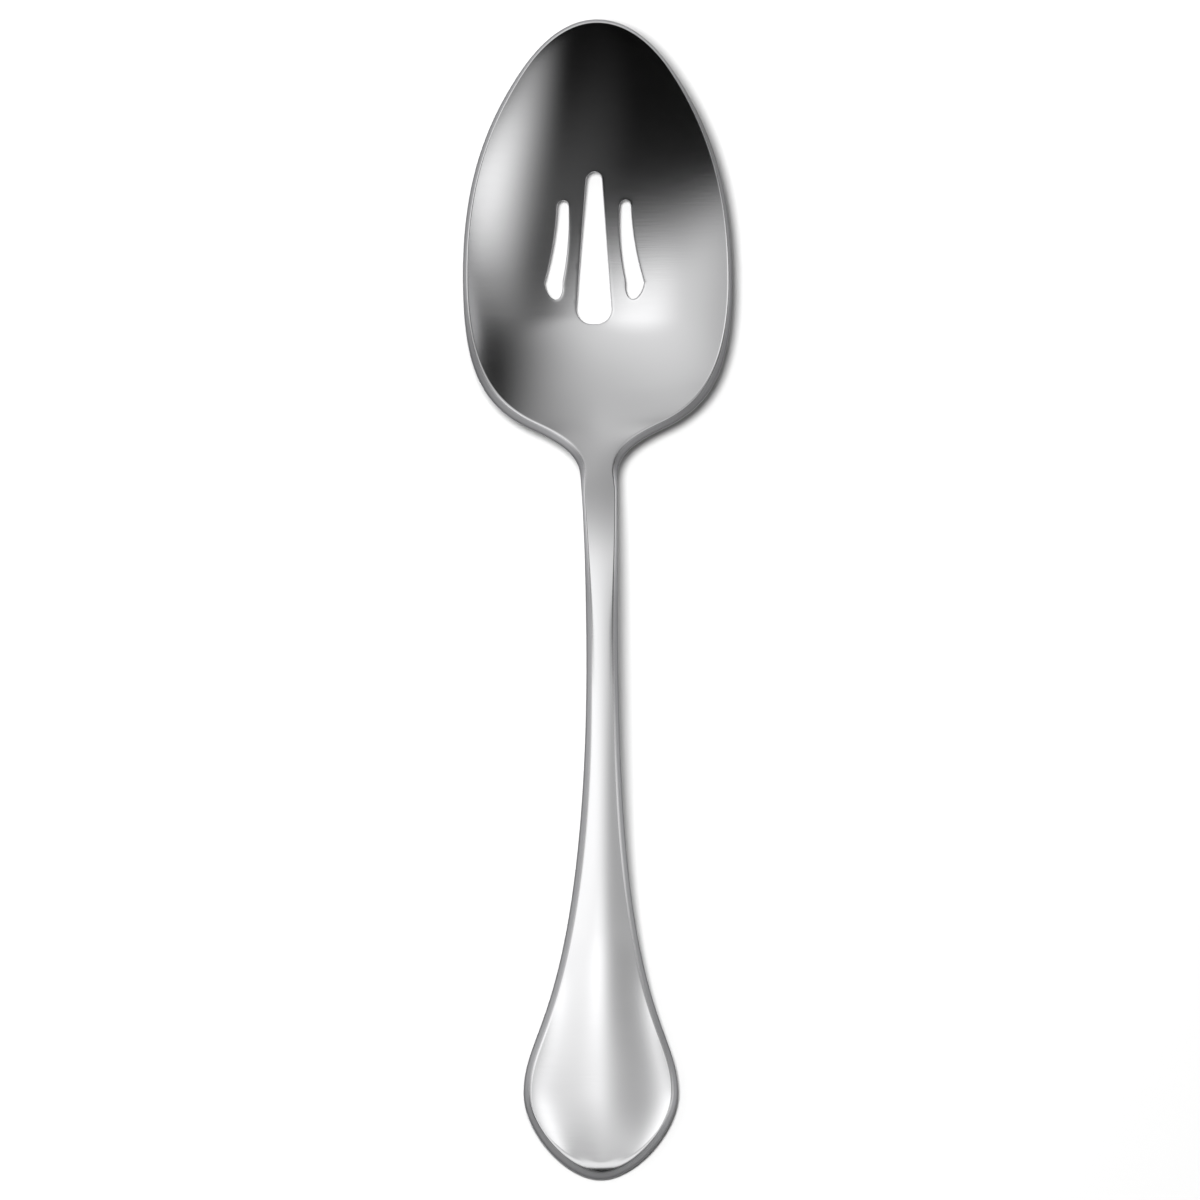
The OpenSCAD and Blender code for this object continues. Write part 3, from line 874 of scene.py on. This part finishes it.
def lit_board():
    """Lit cloth of the low reflector: bright left of the middle, greyer at the right and the far end."""
    material = bpy.data.materials.new("lit_cloth")
    material.use_nodes = True
    tree = material.node_tree
    tree.nodes.clear()
    place = add(tree, "ShaderNodeTexCoord").outputs["Object"]
    parts = add(tree, "ShaderNodeSeparateXYZ", {}, {"Vector": place}).outputs

    def blend(share, first, second):
        """Goes from the first level to the second; each is a number or another node's output."""
        values = {2: first, 3: second}
        plain = {socket: value for socket, value in values.items() if isinstance(value, float)}
        linked = {socket: value for socket, value in values.items() if socket not in plain}
        return add(tree, "ShaderNodeMix", plain, {0: share, **linked}).outputs[0]

    def product(first, second):
        times = add(tree, "ShaderNodeMath", {"operation": "MULTIPLY"}, {0: first, 1: second})
        return times.outputs["Value"]

    # Each range goes along X or Y, in metres, from the first place to the second, and gives two levels
    over_stem = smooth_range(tree, parts["X"], -0.050, 0.072, 1.42, 0.52)
    over_pad = product(
        smooth_range(tree, parts["X"], -0.011, 0.050, 1.66, 0.38),
        smooth_range(tree, parts["X"], -0.030, -0.013, 0.78, 1.0),
    )
    over_rim = smooth_range(tree, parts["Y"], -0.148, -0.172, 0.56, 1.15)
    towards_pad = smooth_range(tree, parts["Y"], -0.086, -0.102, 0.0, 1.0)
    dull_left = smooth_range(tree, parts["X"], -0.105, -0.078, 0.55, 1.0)
    dull_far = smooth_range(tree, parts["Y"], 0.009, 0.038, 1.0, 0.44)
    level = blend(towards_pad, over_stem, over_pad)
    level = product(product(level, dull_left), dull_far)
    # Beside the neck it is darker on both sides
    aside = add(tree, "ShaderNodeMath", {"operation": "ABSOLUTE"}, {0: parts["X"]}).outputs["Value"]
    beside_neck = product(
        smooth_range(tree, parts["Y"], -0.024, 0.004, 0.0, 1.0),
        smooth_range(tree, aside, 0.024, 0.042, 0.0, 0.70),
    )
    level = blend(beside_neck, level, 0.0)
    # Over the end of the pad it is even, with a duller band before its bright near end
    slanted = add(
        tree, "ShaderNodeMath", {"operation": "MULTIPLY_ADD", 1: 0.2}, {0: parts["X"], 2: parts["Y"]}
    ).outputs["Value"]
    level = blend(smooth_range(tree, slanted, -0.121, -0.129, 0.0, 1.0), level, 0.96)
    level = blend(smooth_range(tree, slanted, -0.131, -0.140, 0.0, 1.0), level, over_rim)
    cloth = add(tree, "ShaderNodeEmission", {}, {"Strength": level})
    clear = add(tree, "ShaderNodeBsdfTransparent")
    # Only its underside is lit, and its far end is cut softly
    below = add(tree, "ShaderNodeNewGeometry").outputs["Backfacing"]
    fade = product(below, smooth_range(tree, parts["Y"], 0.038, 0.050, 1.0, 0.0))
    mix = add(
        tree, "ShaderNodeMixShader", {},
        {0: fade, 1: clear.outputs["BSDF"], 2: cloth.outputs["Emission"]},
    )
    add(tree, "ShaderNodeOutputMaterial", {}, {"Surface": mix.outputs["Shader"]})
    return material


def keep(name, bm, material):
    """Makes an object at the origin from a bmesh."""
    mesh = bpy.data.meshes.new(name)
    bm.to_mesh(mesh)
    bm.free()
    mesh.materials.append(material)
    mesh.shade_smooth()
    item = bpy.data.objects.new(name, mesh)
    bpy.context.scene.collection.objects.link(item)
    return item


class SPOON_OT_blank(Operator):
    """Model the pressed, pierced and polished blank"""

    bl_idname = "spoon.blank"
    bl_label = "Polished blank"

    def execute(self, context):
        settings = context.scene
        form = Form(settings.spoon_bowl, settings.spoon_handle)
        bm = Blank(form, settings.spoon_slots).build()
        if not bm.faces:
            raise RuntimeError("the blank has no faces")
        blank = keep("polished_blank", bm, polished_steel(settings.spoon_steel))
        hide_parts(NODE)
        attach(blank, BODY)
        return {"FINISHED"}


class SPOON_OT_studio(Operator):
    """Lay the table, hang the cards, and set the lamp and the camera"""

    bl_idname = "spoon.studio"
    bl_label = "Studio"

    # A soft reflector hangs low over the handle and falls towards the bowl, which sees it edge on
    board_left, board_right = -0.17, 0.14
    board_near, board_far = -0.34, 0.05
    board_lean = math.radians(25)
    board_middle = Vector((0, -0.09, 0.09))
    # Half the side of the table, and the place and the diameter of the lamp
    table_half = 6.0
    lamp_place = Vector((-0.155, 0.15, 1.09))
    lamp_diameter = 0.20
    # The camera looks from a little to the left, so the high handle shifts sideways against the bowl
    camera_height = 0.8
    camera_slant = math.radians(3.8)
    camera_roll = math.radians(-0.43)
    # In the photograph's pixels: its side, the spoon's middle, and the shift that the slant calls for
    photo_side = 1200
    spoon_column = 599.5
    spoon_row = 599.5
    camera_shift = 3.6

    def hang_board(self):
        """A plane over the handle that only the polish sees."""
        bm = bmesh.new()
        bmesh.ops.create_grid(bm, x_segments=1, y_segments=1, size=1)
        for vert in bm.verts:
            x = part_way(self.board_left, self.board_right, (vert.co.x + 1) / 2)
            y = part_way(self.board_near, self.board_far, (vert.co.y + 1) / 2)
            drop = (y - self.board_middle.y) * math.tan(self.board_lean)
            vert.co = (x, y, self.board_middle.z - drop)
        board = keep("soft_reflector", bm, lit_board())
        board.visible_camera = False
        board.visible_diffuse = False
        board.visible_transmission = False
        board.visible_shadow = False
        return board

    def hang_lamp(self, scene, power):
        """A round lamp at the left that makes the shadow and isn't seen in the polish."""
        lamp = bpy.data.lights.new("shadow_lamp", "AREA")
        lamp.shape = "DISK"
        lamp.size = self.lamp_diameter
        lamp.energy = power
        lamp_item = bpy.data.objects.new("shadow_lamp", lamp)
        lamp_item.location = self.lamp_place
        lamp_item.rotation_euler = (-self.lamp_place).to_track_quat("-Z", "Y").to_euler()
        lamp_item.visible_glossy = False
        scene.collection.objects.link(lamp_item)

    def set_camera(self, scene, pixel):
        """A camera with parallel rays, which shows the spoon where the photograph has it."""
        camera = bpy.data.cameras.new("camera")
        camera.type = "ORTHO"
        camera.ortho_scale = self.photo_side * pixel
        camera_item = bpy.data.objects.new("camera", camera)
        middle = self.photo_side / 2
        across = middle - self.spoon_column + self.camera_shift
        aim = Vector((across, self.spoon_row - middle, 0)) * pixel
        slant = Euler((0, -self.camera_slant, 0)).to_quaternion()
        camera_item.location = aim + slant @ Vector((0, 0, self.camera_height))
        camera_item.rotation_euler = (slant @ Quaternion((0, 0, 1), self.camera_roll)).to_euler()
        scene.collection.objects.link(camera_item)
        scene.camera = camera_item

    def execute(self, context):
        scene = context.scene
        looks = scene.spoon_studio
        bm = bmesh.new()
        bmesh.ops.create_grid(bm, x_segments=2, y_segments=2, size=self.table_half)
        table = keep("table_top", bm, pale_table(looks))
        self.hang_board()
        self.hang_lamp(scene, looks.lamp_power)
        scene.world = studio_world()
        self.set_camera(scene, looks.pixel)
        scene.view_settings.view_transform = "Standard"
        return {"FINISHED"}


class SPOON_PT_panel(Panel):
    """Sizes and looks of the spoon"""

    bl_label = "Slotted serving spoon"
    bl_idname = "SPOON_PT_panel"
    bl_space_type = "VIEW_3D"
    bl_region_type = "UI"
    bl_category = "Spoon"

    def draw(self, context):
        for group, kind in GROUPS:
            box = self.layout.box()
            settings = getattr(context.scene, group)
            for name in settings.__annotations__:
                box.prop(settings, name)
        self.layout.operator(SPOON_OT_blank.bl_idname)
        self.layout.operator(SPOON_OT_studio.bl_idname)


GROUPS = (
    ("spoon_bowl", BowlSizes),
    ("spoon_slots", SlotSizes),
    ("spoon_handle", HandleSizes),
    ("spoon_steel", SteelLooks),
    ("spoon_studio", StudioLooks),
)
CLASSES = (SPOON_OT_blank, SPOON_OT_studio, SPOON_PT_panel)


def register():
    for group, kind in GROUPS:
        bpy.utils.register_class(kind)
        setattr(bpy.types.Scene, group, PointerProperty(type=kind))
    for kind in CLASSES:
        bpy.utils.register_class(kind)


def unregister():
    for kind in reversed(CLASSES):
        bpy.utils.unregister_class(kind)
    for group, kind in reversed(GROUPS):
        delattr(bpy.types.Scene, group)
        bpy.utils.unregister_class(kind)


def main():
    register()
    bpy.ops.spoon.blank()
    bpy.ops.spoon.studio()


if __name__ == "__main__":
    main()
